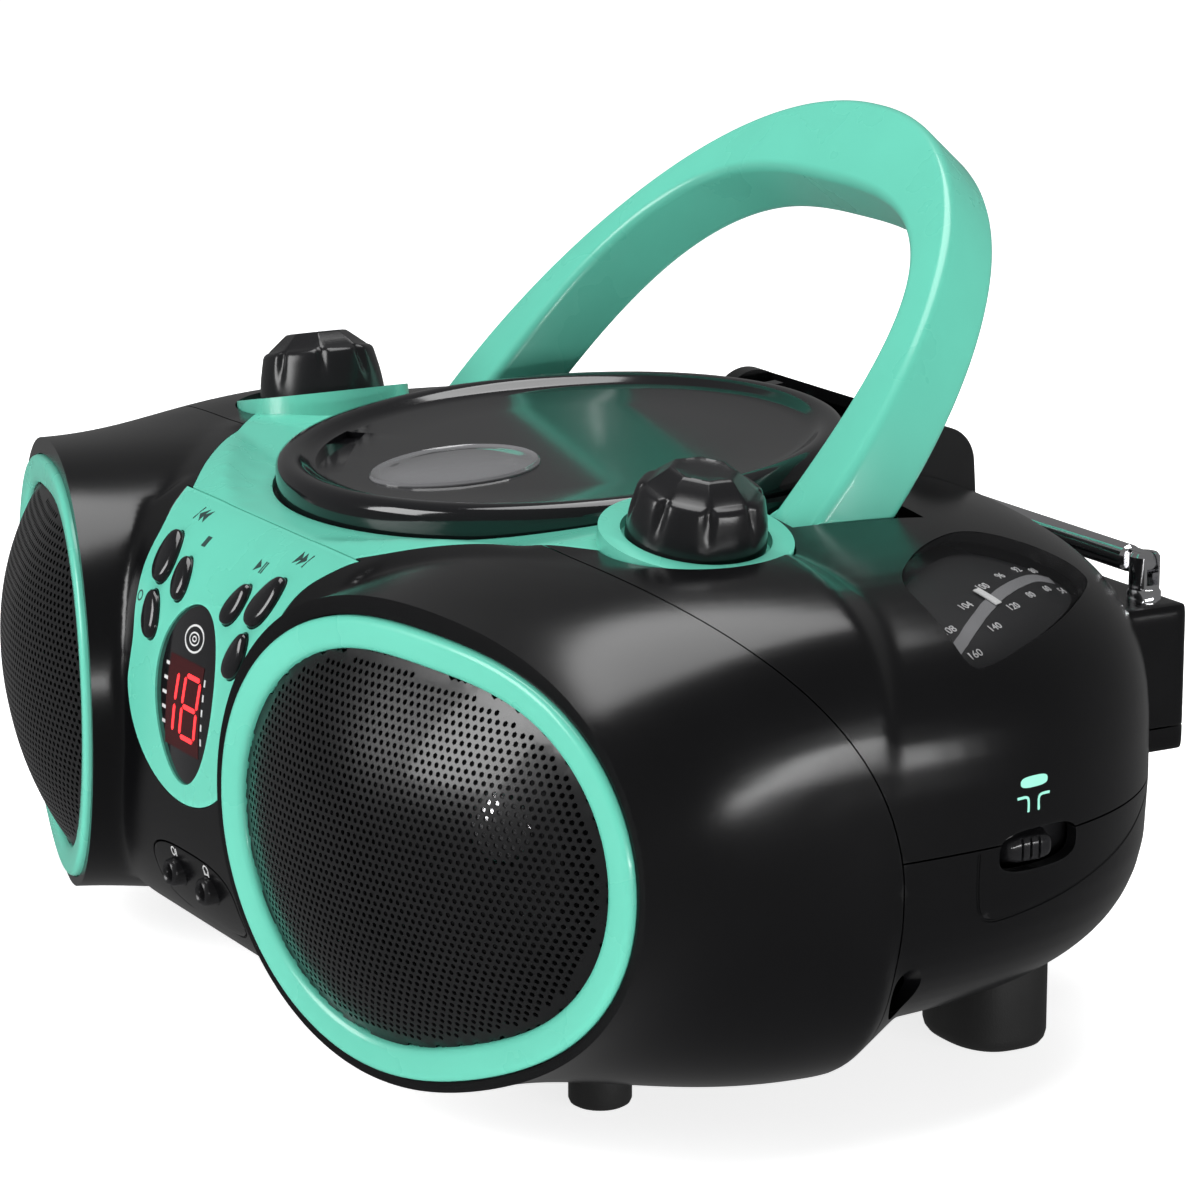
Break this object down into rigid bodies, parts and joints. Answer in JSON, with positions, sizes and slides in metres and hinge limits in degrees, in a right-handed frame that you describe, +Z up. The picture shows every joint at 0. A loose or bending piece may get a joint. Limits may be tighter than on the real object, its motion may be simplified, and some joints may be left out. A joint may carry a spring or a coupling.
{
  "type": "portable stereo radio with CD player",
  "caption": "Portable stereo boombox with top-loading CD deck, AM/FM radio, swinging carry handle, egg-shaped speaker pods and telescopic aerial.",
  "frame": {"origin": "on the ground under the middle of the bounding box", "axes": "+X to the right seen from the front, speakers face -Y, +Z up"},
  "size_m": [0.3202, 0.2218, 0.2008],
  "materials": {
    "shell_black": "satin moulded ABS",
    "mint_trim": "semi-gloss paint on ABS",
    "gloss_black": "high gloss",
    "knob_black": "satin",
    "grille_steel": "perforated, satin black",
    "basket_steel": "plated",
    "cone_paper": "pressed paper pulp",
    "magnet_ferrite": "fired ferrite",
    "clear_window": "clear acrylic",
    "smoke_window": "smoked acrylic",
    "deck_plastic": "matte moulded",
    "lens_glass": "coated lens",
    "chrome": "polished",
    "board_green": "solder mask",
    "core_iron": "laminated",
    "ivory_plastic": "moulded",
    "foot_rubber": "matte"
  },
  "bodies": {
    "case": {"front_shell": "shell_black", "rear_upper_shell": "shell_black", "rear_lower_shell": "shell_black", "deck_fascia": "mint_trim", "control_fascia": "mint_trim", "display_window": "gloss_black", "display_module": "board_green", "jack_panel": "shell_black", "jack_sockets": "chrome", "speaker_ring_left": "mint_trim", "speaker_ring_right": "mint_trim", "speaker_grille_left": "grille_steel", "speaker_grille_right": "grille_steel", "speaker_basket_left": "basket_steel", "speaker_basket_right": "basket_steel", "speaker_cone_left": "cone_paper", "speaker_cone_right": "cone_paper", "speaker_magnet_left": "magnet_ferrite", "speaker_magnet_right": "magnet_ferrite", "hinge_cowl": "shell_black", "cd_well": "deck_plastic", "spindle_motor": "basket_steel", "cd_chassis": "deck_plastic", "guide_rods": "basket_steel", "knob_base_left": "mint_trim", "knob_base_right": "mint_trim", "volume_control": "basket_steel", "tuning_capacitor": "ivory_plastic", "dial_window": "smoke_window", "dial_plate": "deck_plastic", "main_board": "board_green", "transformer": "core_iron", "ferrite_aerial": "magnet_ferrite", "ac_inlet": "shell_black", "battery_tray": "deck_plastic", "feet": "foot_rubber"},
    "cd_lid": {"cd_lid": "gloss_black", "lid_window": "clear_window", "disc_clamp": "deck_plastic", "lid_hinge_pin": "chrome"},
    "turntable": {"turntable": "deck_plastic"},
    "laser_sled": {"laser_sled": "deck_plastic", "laser_lens": "lens_glass"},
    "handle": {"handle": "mint_trim"},
    "volume_knob": {"volume_knob": "knob_black"},
    "tuning_knob": {"tuning_knob": "knob_black"},
    "dial_pointer": {"dial_pointer": "ivory_plastic"},
    "band_switch": {"band_switch": "shell_black"},
    "function_switch": {"function_switch": "shell_black"},
    "skip_back_button": {"skip_back_button": "gloss_black"},
    "skip_forward_button": {"skip_forward_button": "gloss_black"},
    "stop_button": {"stop_button": "gloss_black"},
    "play_button": {"play_button": "gloss_black"},
    "repeat_button": {"repeat_button": "gloss_black"},
    "program_button": {"program_button": "gloss_black"},
    "battery_door": {"battery_door": "shell_black"},
    "aerial_post": {"aerial_post": "chrome"},
    "aerial_outer_tube": {"aerial_outer_tube": "chrome"},
    "aerial_middle_tube": {"aerial_middle_tube": "chrome"},
    "aerial_inner_rod": {"aerial_inner_rod": "chrome"}
  },
  "joints": [
    {"name": "lid_hinge", "type": "hinge", "parent": "case", "child": "cd_lid", "pos_m": [0, 0.07353, 0.11969], "axis": [-1, 0, 0], "range_deg": [0, 27]},
    {"name": "turntable_spin", "type": "hinge", "parent": "case", "child": "turntable", "pos_m": [0, -0.003, 0.11032], "axis": [0, -0.0698, 0.9976], "continuous": true},
    {"name": "sled_slide", "type": "slide", "parent": "case", "child": "laser_sled", "axis": [0, -0.9976, -0.0698], "range_m": [0, 0.028]},
    {"name": "handle_swing", "type": "hinge", "parent": "case", "child": "handle", "pos_m": [0, 0.0148, 0.113], "axis": [1, 0, 0], "range_deg": [0, 39]},
    {"name": "volume_turn", "type": "hinge", "parent": "case", "child": "volume_knob", "pos_m": [-0.0907, -0.0213, 0.1226], "axis": [-0.2079, 0, 0.9781], "range_deg": [-150, 150]},
    {"name": "tuning_turn", "type": "hinge", "parent": "case", "child": "tuning_knob", "pos_m": [0.0907, -0.0213, 0.1226], "axis": [0.2079, 0, 0.9781], "range_deg": [-135, 135]},
    {"name": "pointer_slide", "type": "slide", "parent": "case", "child": "dial_pointer", "axis": [-0.4067, 0.9135, 0], "range_m": [-0.0165, 0.0165]},
    {"name": "band_slide", "type": "slide", "parent": "case", "child": "band_switch", "axis": [0, 1, 0], "range_m": [0, 0.005]},
    {"name": "function_slide", "type": "slide", "parent": "case", "child": "function_switch", "axis": [0, 1, 0], "range_m": [0, 0.005]},
    {"name": "skip_back_press", "type": "slide", "parent": "case", "child": "skip_back_button", "axis": [0, 0.8232, -0.5678], "range_m": [0, 0.0012], "stiffness_N_per_m": 300, "springref_m": -0.0015},
    {"name": "skip_forward_press", "type": "slide", "parent": "case", "child": "skip_forward_button", "axis": [0, 0.8232, -0.5678], "range_m": [0, 0.0012], "stiffness_N_per_m": 300, "springref_m": -0.0015},
    {"name": "stop_press", "type": "slide", "parent": "case", "child": "stop_button", "axis": [0, 0.8674, -0.4976], "range_m": [0, 0.0012], "stiffness_N_per_m": 300, "springref_m": -0.0015},
    {"name": "play_press", "type": "slide", "parent": "case", "child": "play_button", "axis": [0, 0.8674, -0.4976], "range_m": [0, 0.0012], "stiffness_N_per_m": 300, "springref_m": -0.0015},
    {"name": "repeat_press", "type": "slide", "parent": "case", "child": "repeat_button", "axis": [0, 0.9506, -0.3105], "range_m": [0, 0.0012], "stiffness_N_per_m": 300, "springref_m": -0.0015},
    {"name": "program_press", "type": "slide", "parent": "case", "child": "program_button", "axis": [0, 0.9506, -0.3105], "range_m": [0, 0.0012], "stiffness_N_per_m": 300, "springref_m": -0.0015},
    {"name": "door_hinge", "type": "hinge", "parent": "case", "child": "battery_door", "pos_m": [0, 0.1097, 0.0634], "axis": [-1, 0, 0], "range_deg": [0, 95]},
    {"name": "aerial_swivel", "type": "hinge", "parent": "case", "child": "aerial_post", "pos_m": [0.085, 0.103, 0.0925], "axis": [0, 0, 1], "range_deg": [-180, 0]},
    {"name": "aerial_tilt", "type": "hinge", "parent": "aerial_post", "child": "aerial_outer_tube", "pos_m": [0.085, 0.103, 0.1015], "axis": [0, 1, 0], "range_deg": [0, 90]},
    {"name": "aerial_middle_slide", "type": "slide", "parent": "aerial_outer_tube", "child": "aerial_middle_tube", "axis": [-1, 0, 0], "range_m": [0, 0.125]},
    {"name": "aerial_inner_slide", "type": "slide", "parent": "aerial_middle_tube", "child": "aerial_inner_rod", "axis": [-1, 0, 0], "range_m": [0, 0.125]}
  ],
  "couplings": [
    {"joint": "pointer_slide", "follows": "tuning_turn", "m_per_rad": 0.0067906}
  ]
}
